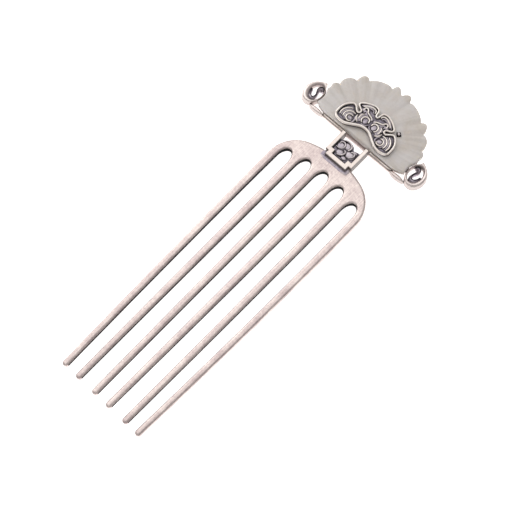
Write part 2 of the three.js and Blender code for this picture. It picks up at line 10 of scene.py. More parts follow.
import bmesh
import bpy
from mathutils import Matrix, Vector


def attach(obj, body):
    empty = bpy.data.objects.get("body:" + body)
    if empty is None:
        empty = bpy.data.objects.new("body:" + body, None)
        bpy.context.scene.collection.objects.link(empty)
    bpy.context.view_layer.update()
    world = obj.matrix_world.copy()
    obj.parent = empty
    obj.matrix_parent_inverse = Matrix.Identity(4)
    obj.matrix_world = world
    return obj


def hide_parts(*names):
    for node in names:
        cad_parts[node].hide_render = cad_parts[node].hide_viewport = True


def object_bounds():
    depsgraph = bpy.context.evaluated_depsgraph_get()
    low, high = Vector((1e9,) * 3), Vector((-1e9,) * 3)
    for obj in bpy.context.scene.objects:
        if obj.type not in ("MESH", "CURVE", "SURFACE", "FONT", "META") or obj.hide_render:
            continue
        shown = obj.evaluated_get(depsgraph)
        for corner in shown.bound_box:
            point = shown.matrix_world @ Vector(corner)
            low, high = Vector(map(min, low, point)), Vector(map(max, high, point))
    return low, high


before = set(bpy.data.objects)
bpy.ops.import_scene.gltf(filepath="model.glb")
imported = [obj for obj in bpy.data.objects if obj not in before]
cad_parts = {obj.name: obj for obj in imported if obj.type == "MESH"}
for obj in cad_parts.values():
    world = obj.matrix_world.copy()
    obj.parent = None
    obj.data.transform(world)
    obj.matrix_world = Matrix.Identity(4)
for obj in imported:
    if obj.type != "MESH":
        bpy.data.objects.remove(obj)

cad_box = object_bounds()
MM = 0.001
print("nodes", len(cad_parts), "box mm", [round(v / MM, 2) for corner in cad_box for v in corner])

# %% [markdown]
# ## Camera
# The object lies on its back and the camera looks down on it, tilted a little and turned, so that the
# teeth run from the lower left to the upper right. A long lens keeps the teeth nearly parallel.

# %% Camera
FRAME_PX = 520
FOCAL_PX = 1075.27
SENSOR = 36.0
bpy.ops.object.camera_add(
    location=Vector((65.017, -102.165, 275.973)) * MM,
    rotation=[math.radians(angle) for angle in (18.4894, -0.3738, 43.0192)],
)
camera = bpy.context.object
camera.name = "studio_camera"
camera.data.sensor_width = SENSOR
camera.data.lens = FOCAL_PX / FRAME_PX * SENSOR
camera.data.clip_start = 0.01
bpy.context.scene.camera = camera
print("lens mm", round(camera.data.lens, 2))

# %% [markdown]
# ## Light table and softboxes
# Small silver work is often shown on a light table: a white sheet lit from below, which swallows the
# shadows. Metal shows what it mirrors, so one large softbox stands where the flat faces reflect it and
# the surroundings stay dimmer, which gives the round wires a bright line and dark flanks.

# %% Floor, softboxes and surroundings
FLOOR_DROP = 0.2  # mm below the comb's back
bpy.ops.mesh.primitive_plane_add(size=3.0, location=(0, 0, cad_box[0].z - FLOOR_DROP * MM))
floor = bpy.context.object
floor.name = "light_table"
bpy.ops.object.mode_set(mode="EDIT")
bpy.ops.mesh.subdivide(number_cuts=6)
bpy.ops.object.mode_set(mode="OBJECT")
bpy.ops.object.transform_apply(location=True)


def softbox(name, place, size, radiance):
    """A square area light at a place in metres that faces the head of the comb."""
    aim = Vector((0, -0.02, 0)) - Vector(place)
    bpy.ops.object.light_add(type="AREA", location=place, rotation=aim.to_track_quat("-Z", "Y").to_euler())
    lamp = bpy.context.object
    lamp.name = name
    lamp.data.shape = "SQUARE"
    lamp.data.size = size
    lamp.data.energy = radiance * math.pi * size**2
    return lamp


softbox("softbox_over", (-0.36, 0.12, 0.64), 0.84, 0.97)
softbox("softbox_left", (-0.6, 0.12, 0.3), 0.35, 1.3)
softbox("strip_front", (0.25, -0.6, 0.4), 0.3, 0.5)

WORLD_STRENGTH = 0.45
world = bpy.data.worlds.new("studio")
bpy.context.scene.world = world
world.use_nodes = True
world.node_tree.nodes["Background"].inputs["Color"].default_value = (1, 1, 1, 1)
world.node_tree.nodes["Background"].inputs["Strength"].default_value = WORLD_STRENGTH
bpy.context.scene.view_settings.view_transform = "Standard"

# %% [markdown]
# ## A helper for materials
# Each finish below is a small graph of nodes. One function turns a colour from its hex value to the
# linear values that a shader works with, and one adds a node with its settings and its links.

# %% Colour and node helpers
def linear(hexcode):
    """Linear colour with alpha for an sRGB hex value such as '#c0c0c0'."""
    values = [int(hexcode[i:i + 2], 16) / 255 for i in (1, 3, 5)]
    return [v / 12.92 if v <= 0.04045 else ((v + 0.055) / 1.055) ** 2.4 for v in values] + [1.0]


def add_node(tree, kind, inputs=None, **settings):
    """Adds a node. An input is a constant, or another node's output to link to it."""
    added = tree.nodes.new(kind)
    for name, value in settings.items():
        setattr(added, name, value)
    for socket, value in (inputs or {}).items():
        if isinstance(value, bpy.types.NodeSocket):
            tree.links.new(value, added.inputs[socket])
        else:
            added.inputs[socket].default_value = value
    return added


def maths(tree, operation, *values):
    """The result of a maths node. Each value is a constant or a socket."""
    return add_node(tree, "ShaderNodeMath", dict(enumerate(values)), operation=operation).outputs["Value"]


def ramp(tree, value, low, high, start=0.0, end=1.0):
    """A value that goes from start to end while the input goes from low to high."""
    return add_node(tree, "ShaderNodeMapRange", {
        "Value": value, "From Min": low, "From Max": high, "To Min": start, "To Max": end}).outputs["Result"]


def tint(tree, share, first, second):
    """A colour that goes from the first to the second with the share."""
    return add_node(tree, "ShaderNodeMix", {"Factor": share, "A": first, "B": second},
                    data_type="RGBA").outputs["Result"]


def new_material(name):
    """An empty node material and its output node."""
    material = bpy.data.materials.new(name)
    material.use_nodes = True
    material.node_tree.nodes.clear()
    output = material.node_tree.nodes.new("ShaderNodeOutputMaterial")
    return material, material.node_tree, output


# %% [markdown]
# ## Light table sheet
# Opal acrylic lit from below: mostly its own even light, with a faint mottle so that it isn't one flat
# colour.

# %% Opal acrylic
def opal_acrylic():
    material, tree, output = new_material("opal_acrylic")
    place = add_node(tree, "ShaderNodeTexCoord")
    mottle = add_node(tree, "ShaderNodeTexNoise", {"Vector": place.outputs["Object"], "Scale": 9.0})
    tone = tint(tree, mottle.outputs["Fac"], linear("#fbfbfb"), linear("#ffffff"))
    shader = add_node(tree, "ShaderNodeBsdfPrincipled", {
        "Base Color": linear("#e9e9e9"), "Roughness": 0.6, "Specular IOR Level": 0.2,
        "Emission Color": tone, "Emission Strength": 0.92})
    tree.links.new(shader.outputs["BSDF"], output.inputs["Surface"])
    return material


floor.data.materials.append(opal_acrylic())

# %% [markdown]
# ## Silver finishes
# Sterling silver that was dipped in a darkening bath and then rubbed bright again stays dark where a
# cloth doesn't reach. So every silver finish here is the same graph: a bright metal, fine drawn lines
# along the comb, a slow drift of tarnish, and a dark sulphide that sits in the recesses, found by how
# much of its surroundings a point sees. Upright faces can also get painted shade in that dark colour.
# What changes is how bright, how rough and how dark.

# %% Silver finishes
LINE_SPACING = 0.26  # mm between brushed lines; real ones are finer than a render shows
LINE_LENGTH = 9.0  # mm
DRIFT = 5.0  # mm from one cloud of tarnish to the next
# CRUST takes the metal's look from full sulphide and from full painted wall shade alike.
CRUST = 1.0  # how far full sulphide stops looking like metal
CRUST_SHEEN = 0.03  # specular level of that matte crust
SPECK = 0.6  # mm from one speck of tarnish to the next
SPECK_SHARE = 0.36  # how strongly the specks count against the clouds
FILM_RAGGED = 0.45  # how far the specks break up the edge of a stain


def silver(name, bright, drift, sulphide, roughness, reach, cut, lines=0.35, walls=0.0,
           film=None):
    """Silver from its bright, drifting and blackened colours.

    reach is how far in mm a recess is felt, cut the two openness values between which the sulphide
    fades, lines how deep the brushing is, walls how much painted shade upright faces get in the dark
    colour. film is the centre and half size in mm of a stain, and the colour that surrounds it.
    """
    material, tree, output = new_material(name)
    place = add_node(tree, "ShaderNodeTexCoord")
    streaks = add_node(tree, "ShaderNodeMapping", {
        "Vector": place.outputs["Object"],
        "Scale": (1 / (LINE_SPACING * MM), 1 / (LINE_LENGTH * MM), 1 / (LINE_SPACING * MM))})
    brushing = add_node(tree, "ShaderNodeTexNoise", {
        "Vector": streaks.outputs["Vector"], "Scale": 1.0, "Detail": 3.0, "Roughness": 0.6})
    clouds = add_node(tree, "ShaderNodeTexNoise", {
        "Vector": place.outputs["Object"], "Scale": 1 / (DRIFT * MM), "Detail": 4.0, "Roughness": 0.6})
    mixed = maths(tree, "MULTIPLY", clouds.outputs["Fac"], brushing.outputs["Fac"])
    specks = add_node(tree, "ShaderNodeTexNoise", {
        "Vector": place.outputs["Object"], "Scale": 1 / (SPECK * MM), "Detail": 2.0, "Roughness": 0.6})
    blend = maths(tree, "MULTIPLY_ADD", specks.outputs["Fac"], SPECK_SHARE, mixed)
    stain = ramp(tree, blend, 0.12 + 0.5 * SPECK_SHARE, 0.42 + 0.5 * SPECK_SHARE)
    worn = tint(tree, stain, linear(drift), linear(bright))
    open_sky = add_node(tree, "ShaderNodeAmbientOcclusion", {"Distance": reach * MM}, samples=8)
    recess = ramp(tree, open_sky.outputs["AO"], cut[0], cut[1], 1.0, 0.0)
    # Painted shade: faces take the dark colour by how upright they stand, as far as walls asks.
    facing = add_node(tree, "ShaderNodeNewGeometry")
    split = add_node(tree, "ShaderNodeSeparateXYZ", {"Vector": facing.outputs["Normal"]})
    level = maths(tree, "ABSOLUTE", split.outputs["Z"])
    upright = ramp(tree, level, 0.2, 0.75, walls, 0.0)
    sulphide_and_shade = maths(tree, "MAXIMUM", recess, upright)
    colour = tint(tree, sulphide_and_shade, worn, linear(sulphide))
    if film:
        middle, half, around = film
        offset = add_node(tree, "ShaderNodeVectorMath", {
            0: place.outputs["Object"], 1: [v * MM for v in middle]}, operation="SUBTRACT")
        scaled = add_node(tree, "ShaderNodeVectorMath", {
            0: offset.outputs["Vector"], 1: [v * MM for v in half]}, operation="DIVIDE")
        length = add_node(tree, "ShaderNodeVectorMath", {0: scaled.outputs["Vector"]}, operation="LENGTH")
        ragged = maths(tree, "MULTIPLY_ADD", specks.outputs["Fac"], FILM_RAGGED, length.outputs["Value"])
        colour = tint(tree, ramp(tree, ragged, 1.0, 1.3), colour, linear(around))
    metallic = maths(tree, "MULTIPLY_ADD", sulphide_and_shade, -CRUST, 1.0)
    matt = ramp(tree, brushing.outputs["Fac"], 0.25, 0.75, roughness - 0.07, roughness + 0.07)
    relief = add_node(tree, "ShaderNodeBump", {
        "Height": brushing.outputs["Fac"], "Strength": lines, "Distance": 0.02 * MM})
    shader = add_node(tree, "ShaderNodeBsdfPrincipled", {
        "Base Color": colour, "Metallic": metallic, "Specular IOR Level": CRUST_SHEEN,
        "Roughness": matt, "Normal": relief.outputs["Normal"]})
    tree.links.new(shader.outputs["BSDF"], output.inputs["Surface"])
    return material


# Brushed sterling: the broad faces, a soft pinkish cream with lengthwise lines.
brushed_sterling = silver("brushed_sterling", "#f3e5de", "#c6b4b2", "#5b5054", 0.38, 0.5, (0.05, 0.35))
# Polished sterling: the wires and rims that hands and cloth reach, with near-white highlights.
polished_sterling = silver("polished_sterling", "#fffaf3", "#f1e4dc", "#1a1517", 0.36, 0.55,
                           (0.3, 0.62), lines=0.15)
# Oxidised silver: the floors under the relief, purple-grey going black in the corners.
oxidised_silver = silver("oxidised_silver", "#a8a0aa", "#7d7581", "#050405", 0.40, 0.8, (0.45, 0.97),
                         lines=0.2)
# Relief silver: the raised puffs, curls and low bands, rubbed lighter than their floors.
relief_silver = silver("relief_silver", "#cbc2c6", "#a39aa5", "#060506", 0.38, 0.5, (0.35, 0.8),
                       lines=0.2)
# Blackened and shaded silver: the sawn walls between the teeth and the pin's washer. Its black is
# sulphide and also painted shade, and its upright faces get the painted shade in full.
blackened_silver = silver("blackened_silver", "#2b2528", "#1a1517", "#0c090a", 0.5, 1.0, (0.1, 0.7),
                          lines=0.3, walls=1.0)
# Rubbed silver: ridges deep in the window, brighter than the puffs but never polished.
rubbed_silver = silver("rubbed_silver", "#e6dddb", "#bfb5bb", "#171315", 0.38, 0.5, (0.3, 0.7))
# Solder seam: greyer, rough and heat stained.
solder_seam = silver("solder_seam", "#d3c9cf", "#938998", "#4a434b", 0.45, 0.5, (0.1, 0.4), lines=0.9,
                     film=((-0.45, 0.9, 2.6), (5.6, 1.75, 20.0), "#e0d2ca"))
# Framing silver: bright in front, sulphide in its recesses and brown painted shade on its upright walls.
framing_silver = silver("framing_silver", "#ebe0d8", "#d6c9c2", "#2c2425", 0.30, 0.5, (0.1, 0.5),
                        walls=0.7)
# Cast silver: the end rings and braces, bright all round with a little grey sulphide in their hollows
# and a little grey painted shade on their upright flanks.
cast_silver = silver("cast_silver", "#f6ebe5", "#dccdc9", "#4a4042", 0.36, 0.6, (0.2, 0.55), lines=0.2,
                     walls=0.25)
print("silver finishes", [m.name for m in bpy.data.materials if "silver" in m.name or "sterling" in m.name])

# %% [markdown]
# ## Nephrite
# Pale jade is a dense felt of fibres that is cut, ground and waxed. Light enters it and comes out a
# millimetre or two away, so thin edges glow and nothing looks hard. Warmer clouds drift through the
# grey-white body, greyer rays of painted shade for the carved flutes run out to the rim, and the wax
# gives a soft gloss.

# %% Jade
CLOUD_SIZE = 7.0  # mm
FIBRE_SIZE = 0.7  # mm
FAN_CENTRE = (-0.25, 12.5)  # mm, where the carved rays of the fan meet
RAYS_PER_RADIAN = 8.0
RAY_DEPTH = 0.3  # how far a ray goes to its greyer tone at the rim
RAY_START, RAY_END = 7, 16  # mm from the centre, where the rays begin and are full


def waxed_nephrite():
    material, tree, output = new_material("waxed_nephrite")
    place = add_node(tree, "ShaderNodeTexCoord")
    clouds = add_node(tree, "ShaderNodeTexNoise", {
        "Vector": place.outputs["Object"], "Scale": 1 / (CLOUD_SIZE * MM), "Detail": 5.0,
        "Roughness": 0.55, "Distortion": 0.6})
    fibres = add_node(tree, "ShaderNodeTexNoise", {
        "Vector": place.outputs["Object"], "Scale": 1 / (FIBRE_SIZE * MM), "Detail": 4.0,
        "Roughness": 0.65})
    body = tint(tree, ramp(tree, clouds.outputs["Fac"], 0.38, 0.66), linear("#e0dad7"), linear("#d6ccc2"))
    axes = add_node(tree, "ShaderNodeSeparateXYZ", {"Vector": place.outputs["Object"]})
    from_axis = maths(tree, "SUBTRACT", axes.outputs["X"], FAN_CENTRE[0] * MM)
    from_foot = maths(tree, "SUBTRACT", axes.outputs["Y"], FAN_CENTRE[1] * MM)
    turn = maths(tree, "ARCTAN2", from_axis, from_foot)
    rays = add_node(tree, "ShaderNodeTexNoise", {"W": turn, "Scale": RAYS_PER_RADIAN, "Detail": 2.0},
                    noise_dimensions="1D")
    centre = (FAN_CENTRE[0] * MM, FAN_CENTRE[1] * MM, 0)
    reach = add_node(tree, "ShaderNodeVectorMath", {0: place.outputs["Object"], 1: centre},
                     operation="DISTANCE")
    # Painted shade: the rays grow greyer towards the rim along the depth of the carved flutes.
    painted_flute_shade = ramp(tree, reach.outputs["Value"], RAY_START * MM, RAY_END * MM, 0.0, RAY_DEPTH)
    ray_share = ramp(tree, rays.outputs["Fac"], 0.42, 0.66)
    rayed = tint(tree, maths(tree, "MULTIPLY", ray_share, painted_flute_shade), body, linear("#aaa299"))
    veil = ramp(tree, fibres.outputs["Fac"], 0.35, 0.75, 0.0, 0.3)
    milky = tint(tree, veil, rayed, linear("#ece7e4"))
    polish = ramp(tree, clouds.outputs["Fac"], 0.0, 1.0, 0.26, 0.38)
    ripple = add_node(tree, "ShaderNodeBump", {
        "Height": fibres.outputs["Fac"], "Strength": 0.12, "Distance": 0.05 * MM})
    shader = add_node(tree, "ShaderNodeBsdfPrincipled", {
        "Base Color": milky, "Roughness": polish, "IOR": 1.61,
        "Subsurface Weight": 0.6, "Subsurface Radius": (1.0, 1.0, 0.85), "Subsurface Scale": 1.4 * MM,
        "Normal": ripple.outputs["Normal"]})
    tree.links.new(shader.outputs["BSDF"], output.inputs["Surface"])
    return material


nephrite = waxed_nephrite()

# %% [markdown]
# ## Modelling helpers
# Every plate on this object was sawn from sheet along a drawn line. In Blender that is one vertex
# extruded round the outline and filled with F. Extruding gives the sheet its thickness, and a few
# insets, each a little further in and a little further out of the face, file its edges round.

# %% Pick, choose and trace
def pick(*pieces):
    """Selects only these objects and makes the last one active."""
    bpy.ops.object.select_all(action="DESELECT")
    for piece in pieces:
        piece.select_set(True)
    bpy.context.view_layer.objects.active = pieces[-1]


def choose(piece, kind, test):
    """In edit mode, selects only the verts, edges or faces that pass the test."""
    bpy.ops.mesh.select_mode(type={"verts": "VERT", "edges": "EDGE", "faces": "FACE"}[kind])
    bpy.ops.mesh.select_all(action="DESELECT")
    body = bmesh.from_edit_mesh(piece.data)
    chosen = [element for element in getattr(body, kind) if test(element)]
    for element in chosen:
        element.select_set(True)
    bmesh.update_edit_mesh(piece.data)
    return len(chosen)


def trace(name, outline, level, fill=True):
    """Traces a closed outline, in mm, with one vertex and fills it or not. Leaves edit mode on."""
    bpy.ops.object.select_all(action="DESELECT")
    bpy.ops.mesh.primitive_plane_add(size=MM)
    piece = bpy.context.object
    piece.name = piece.data.name = name
    bpy.ops.object.mode_set(mode="EDIT")
    bpy.ops.mesh.select_mode(type="VERT")
    bpy.ops.mesh.select_all(action="SELECT")
    bpy.ops.mesh.merge(type="CENTER")
    bpy.ops.transform.translate(value=(outline[0][0] * MM, outline[0][1] * MM, level * MM))
    for here, there in zip(outline, outline[1:]):
        step = ((there[0] - here[0]) * MM, (there[1] - here[1]) * MM, 0)
        bpy.ops.mesh.extrude_region_move(TRANSFORM_OT_translate={"value": step})
    body = bmesh.from_edit_mesh(piece.data)
    loose_ends = {vert.index for vert in body.verts if len(vert.link_edges) == 1}
    choose(piece, "verts", lambda vert: vert.index in loose_ends)
    bpy.ops.mesh.edge_face_add()
    bpy.ops.mesh.select_all(action="SELECT")
    if fill:
        bpy.ops.mesh.edge_face_add()
    return piece


def saw_plate(name, outline, low, high, front=(), back=()):
    """A plate whose wall stands from low to high. front and back are insets (inward, outward) in mm."""
    piece = trace(name, outline, low)
    bpy.ops.mesh.extrude_region_move(TRANSFORM_OT_translate={"value": (0, 0, (high - low) * MM)})
    bpy.ops.mesh.select_all(action="SELECT")
    bpy.ops.mesh.normals_make_consistent(inside=False)
    for side, steps in ((1, front), (-1, back)):
        choose(piece, "faces", lambda face: face.normal.z * side > 0.9)
        for inward, outward in steps:
            bpy.ops.mesh.inset(thickness=inward * MM, depth=outward * MM, use_even_offset=True)
    return piece


def settle(piece, material, slot_name, *nodes, angle=42, even=False):
    """Leaves edit mode, smooths, paints and binds a finished piece to the comb."""
    if bpy.context.mode != "OBJECT":
        bpy.ops.object.mode_set(mode="OBJECT")
    pick(piece)
    bpy.ops.object.transform_apply(location=True, rotation=True, scale=True)
    bpy.ops.object.shade_smooth_by_angle(angle=math.radians(angle))
    if even:
        piece.modifiers.new("even", "WEIGHTED_NORMAL").keep_sharp = True
        bpy.ops.object.modifier_apply(modifier="even")
    if not piece.data.materials:
        piece.data.materials.append(material)
    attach(piece, "root")
    if nodes:
        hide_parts(*nodes)
    piece.data.calc_loop_triangles()
    print(piece.name, "triangles", len(piece.data.loop_triangles))
    return piece


# %% [markdown]
# ## Comb
# The body is one sawn plate: a shallow crown for the shoulder, round corners, and six long teeth that
# stray a little from straight because they were bent true by hand. Its outline is worked out point by
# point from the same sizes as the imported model.

# %% Outline of the comb
TOOTH_COUNT = 6
PITCH = 6.0
HALF_ROOT = 1.125
HALF_TIP = 0.9
ROOT_Y = -12.0
TIP_Y = -90.0
STRAY = (1.15, 0.1, 0.1, -0.85, -0.85, -2.25)
BOW_POWER = 1.6
CROWN_Y = 2.4
CROWN_RADIUS = 29.0
CORNER_RADIUS = 10.0
SLOT_TOP_Y = -2.9
SLOT_LINE_RADIUS = 44.0
SLOT_ARCH = 3.5


def blend_of(a, b, share):
    return a + (b - a) * share


def arc(centre, radius, start, end, count):
    """Points on an arc from start to end in degrees, with count steps. radius may be a pair."""
    first, last = radius if isinstance(radius, tuple) else (radius, radius)
    points = []
    for i in range(count + 1):
        turn = math.radians(blend_of(start, end, i / count))
        reach = blend_of(first, last, i / count)
        points.append((centre[0] + reach * math.cos(turn), centre[1] + reach * math.sin(turn)))
    return points


def oval(count):
    """A closed round of radius 1 with count points."""
    return arc((0, 0), 1, 0, 360, count)[:-1]


def mirrored(points):
    return [(-x, y) for x, y in points]


def tooth_x(index, y=ROOT_Y):
    """Centre line of a tooth at height y."""
    share = min(max((ROOT_Y - y) / (ROOT_Y - TIP_Y), 0), 1)
    return (index - (TOOTH_COUNT - 1) / 2) * PITCH + STRAY[index] * share**BOW_POWER


def tooth_outline(index):
    """Down the left edge, round the tip and up the right edge."""
    steps = 14
    low = TIP_Y + HALF_TIP
    left, right = [], []
    for i in range(steps + 1):
        y = blend_of(ROOT_Y, low, i / steps)
        half = blend_of(HALF_ROOT, HALF_TIP, i / steps)
        left.append((tooth_x(index, y) - half, y))
        right.insert(0, (tooth_x(index, y) + half, y))
    tip = arc((tooth_x(index, low), low), HALF_TIP, 180, 360, 12)[1:-1]
    return left + tip + right


def slot_outline(index):
    """The round top of the slot to the right of a tooth."""
    centre = (index + 1 - (TOOTH_COUNT - 1) / 2) * PITCH - PITCH / 2
    half = PITCH / 2 - HALF_ROOT
    top = SLOT_TOP_Y - (SLOT_LINE_RADIUS - math.sqrt(SLOT_LINE_RADIUS**2 - centre**2))
    base = top - SLOT_ARCH
    return [(centre + half * x, base + SLOT_ARCH * y) for x, y in arc((0, 0), 1, 180, 0, 18)]


def shoulder_outline():
    """From the right tooth over the crown to the left tooth."""
    corner_x = tooth_x(TOOTH_COUNT - 1) + HALF_ROOT - CORNER_RADIUS
    crown_low = CROWN_Y - CROWN_RADIUS
    corner_y = crown_low + math.sqrt((CROWN_RADIUS - CORNER_RADIUS) ** 2 - corner_x**2)
    joint = math.degrees(math.atan2(corner_y - crown_low, corner_x))
    corner = arc((corner_x, corner_y), CORNER_RADIUS, 0, joint, 18)
    crown = arc((0, crown_low), CROWN_RADIUS, joint, 90, 12)
    right = corner + crown[1:]
    return right + mirrored(right[:-1])[::-1]


comb_outline = []
for tooth in range(TOOTH_COUNT):
    comb_outline += tooth_outline(tooth)
    if tooth < TOOTH_COUNT - 1:
        comb_outline += slot_outline(tooth)
comb_outline += shoulder_outline()
print("outline points", len(comb_outline))

# %% [markdown]
# The faces are filed into a low crown, wide enough to meet along the middle of each tooth. That crown
# matters more than it seems: it is what draws a bright and a dark line down every tooth. The teeth
# also thin towards their tips, so their front is tilted down from the root with one small rotation.

# %% Saw, file and thin the comb
PLATE = 2.6
THINNING = 0.6  # mm lost at the tips
BACK_EDGE = ((0.04, 0.24), (0.08, 0.24), (0.16, 0.2), (0.26, 0.12))
FRONT_EDGE = ((0.04, 0.14), (0.08, 0.12), (0.12, 0.09), (0.16, 0.065), (0.2, 0.04), (0.18, 0.015))
back_depth = sum(step[1] for step in BACK_EDGE)
front_depth = sum(step[1] for step in FRONT_EDGE)

comb = saw_plate("comb_blank", comb_outline, back_depth, PLATE - front_depth, FRONT_EDGE, BACK_EDGE)
bpy.ops.mesh.select_all(action="SELECT")
bpy.ops.mesh.bisect(plane_co=(0, ROOT_Y * MM, 0), plane_no=(0, 1, 0))
bpy.ops.mesh.select_all(action="SELECT")
bpy.ops.mesh.remove_doubles(threshold=0.002 * MM)
choose(comb, "verts", lambda vert: vert.co.y < (ROOT_Y - 0.01) * MM and vert.co.z > PLATE / 2 * MM)
bpy.ops.transform.rotate(
    value=-math.atan2(THINNING, ROOT_Y - TIP_Y), orient_axis="X", orient_type="GLOBAL",
    center_override=(0, ROOT_Y * MM, PLATE * MM))
lowest = min(vert.co.z for vert in bmesh.from_edit_mesh(comb.data).verts if vert.co.z > PLATE / 2 * MM)
print("front points go down to mm", round(lowest / MM, 3))

# %% [markdown]
# The walls between the teeth were never rubbed bright after the darkening bath. They get the
# blackened finish, whose black is partly sulphide and partly painted shade, found by their place: a
# wall belongs to a slot when a step off its face lands between the outer teeth.

# %% Blacken the slot walls and paint their shade
comb.data.materials.append(brushed_sterling)
comb.data.materials.append(blackened_silver)


def is_slot_wall(face):
    spot = face.calc_center_median() / MM + face.normal * 0.4
    between = tooth_x(0, spot.y) < spot.x < tooth_x(TOOTH_COUNT - 1, spot.y)
    top = SLOT_TOP_Y + 0.1 - (SLOT_LINE_RADIUS - math.sqrt(SLOT_LINE_RADIUS**2 - spot.x**2))
    return -0.5 < face.normal.z < 0.5 and between and TIP_Y + HALF_TIP < spot.y < top


walls = choose(comb, "faces", is_slot_wall)
comb.active_material_index = 1
bpy.ops.object.material_slot_assign()
print("slot wall faces", walls)
settle(comb, brushed_sterling, "silver", "comb_body", angle=50, even=True)

# %% [markdown]
# ## Jade fan
# A lapidary slices the jade, grinds its lobed edge and then works shallow grooves from each notch
# towards the middle. The outline is worked out in polar steps around a centre low in the fan. After
# the edge is rounded, smaller and smaller copies of the face are drawn towards that centre, so there
# are enough points for the grooves.

# %% Outline of the fan
HEAD_X = -0.25  # the head sits a little off the comb's centre line
FAN_Y = 12.5
NOTCH_RADIUS = 16.5
NOTCH_GROWTH = 0.45
LOBES = ((11.3, 1.61, 0.58, 0.85), (23.4, 0.62, 0.4, 0.55), (12.5, 1.45, 0.36, 0.8),
         (17.0, 1.1, 0.48, 0.7), (9.5, 0.85, 0.52, 0.75))
RING_X = 19.0
RING_Y = 13.3
RING_HALF_WIDTH = 3.0
RING_HALF_HEIGHT = 4.0
RING_GAP = 0.25
FAN_FOOT = (12.4, 10.2)
FAN_SIDE_START, FAN_SIDE_END = 136, 206  # degrees round the ring that the fan's side spans
FAN_SIDE_STEPS = 6
FAN_CORNER = (1.5, 0.42)  # the ground-off corner, in from the fan's side and up from its foot
LOBE_STEPS = 16
FOOT_STEPS = 20

fan_total = sum(lobe[0] for lobe in LOBES)
notches = [0.0]
fan_right = []
for span, rise, peak, roundness in LOBES:
    skew = math.log(0.5) / math.log(peak)
    for i in range(LOBE_STEPS):
        share = i / LOBE_STEPS
        angle = notches[-1] + span * share
        bump = math.sin(math.pi * share**skew) ** roundness
        radius = NOTCH_RADIUS + NOTCH_GROWTH * angle / fan_total + rise * bump
        turn = math.radians(angle)
        fan_right.append((radius * math.sin(turn), FAN_Y + radius * math.cos(turn)))
    notches.append(notches[-1] + span)
side = arc((0, 0), 1, FAN_SIDE_START, FAN_SIDE_END, FAN_SIDE_STEPS)
fan_right += [(RING_X + (RING_HALF_WIDTH + RING_GAP) * x, RING_Y + (RING_HALF_HEIGHT + RING_GAP) * y)
              for x, y in side]
fan_right.append((fan_right[-1][0] - FAN_CORNER[0], FAN_FOOT[1] + FAN_CORNER[1]))
fan_right += [(FAN_FOOT[0] * (1 - i / FOOT_STEPS), FAN_FOOT[1]) for i in range(FOOT_STEPS)]
fan_outline = [(x + HEAD_X, y) for x, y in fan_right]
fan_outline += [(HEAD_X - x, y) for x, y in [(0, FAN_FOOT[1])] + fan_right[:0:-1]]
print("fan points", len(fan_outline), "notches at", [round(n, 1) for n in notches])

# %% Cut and round the fan
JADE_BACK = 1.38
JADE_FRONT = 3.63
JADE_BACK_EDGE = ((0.06, 0.16), (0.12, 0.12), (0.2, 0.08))
JADE_FRONT_EDGE = ((0.05, 0.16), (0.09, 0.13), (0.13, 0.1), (0.16, 0.07), (0.17, 0.04))
SHRINK = (0.97, 0.97, 0.96, 0.95, 0.94, 0.93, 0.92, 0.9, 0.88, 0.85, 0.8, 0.7, 0.5)
back_depth = sum(step[1] for step in JADE_BACK_EDGE)
front_depth = sum(step[1] for step in JADE_FRONT_EDGE)

fan = saw_plate("jade_slice", fan_outline, JADE_BACK + back_depth, JADE_FRONT - front_depth,
                JADE_FRONT_EDGE, JADE_BACK_EDGE)
choose(fan, "faces", lambda face: face.normal.z > 0.99 and len(face.verts) > 4)
for factor in SHRINK:
    bpy.ops.mesh.extrude_region_move(TRANSFORM_OT_translate={"value": (0, 0, 0)})
    bpy.ops.transform.resize(value=(factor, factor, 1), center_override=(HEAD_X * MM, FAN_Y * MM, 0))
bpy.ops.mesh.merge(type="CENTER")
bpy.ops.object.mode_set(mode="OBJECT")

# %% [markdown]
# The grooves and a slight fall towards the rim are worked straight into the points, since no single
# tool of edit mode draws a fan of tapering grooves.

# %% Work the grooves
GROOVE_DEPTH = 0.24
GROOVE_HALF = 0.75  # mm, half width at the rim
RIM_FALL = 0.22
GROOVE_START = 0.42  # share of the radius where a groove begins


def fan_height(x, y):
    """How far in mm the worked face lies below the sawn one."""
    reach = math.hypot(x - HEAD_X, y - FAN_Y)
    share = reach / NOTCH_RADIUS
    angle = math.degrees(math.atan2(abs(x - HEAD_X), y - FAN_Y))
    nearest = min(abs(angle - notch) for notch in notches[:-1])
    across = math.radians(nearest) * reach / GROOVE_HALF
    along = min(max((share - GROOVE_START) / (1 - GROOVE_START), 0), 1)
    return GROOVE_DEPTH * along**1.5 * math.exp(-across**2) + RIM_FALL * min(share, 1) ** 3


jade_middle = (JADE_BACK + JADE_FRONT) / 2
for vert in fan.data.vertices:
    share = (vert.co.z / MM - jade_middle) / (JADE_FRONT - jade_middle)
    if share > 0:
        vert.co.z -= share * fan_height(vert.co.x / MM, vert.co.y / MM) * MM
settle(fan, nephrite, "jade", "jade_fan", angle=60)

# %% [markdown]
# ## Cloud plaque
# The plaque is a thin plate with wires laid on it: a thick bow along its foot, a rim round its lobes
# and scrolls between them. Each wire is a curve with a round section that tapers at its ends, turned
# into a mesh once its shape is right.

# %% Wire helper
PLAQUE_X = -0.45
PLAQUE_Y = 10.8
PLAQUE_HALF_WIDTH = 9.55
PLAQUE_HEIGHT = 9.85
WIRE_BASE = 4.26


def spot(u, v):
    """A place on the plaque's right half from shares of its half width and height."""
    return (u * PLAQUE_HALF_WIDTH, PLAQUE_Y + v * PLAQUE_HEIGHT)


def spots(*shares):
    return [spot(*pair) for pair in shares]


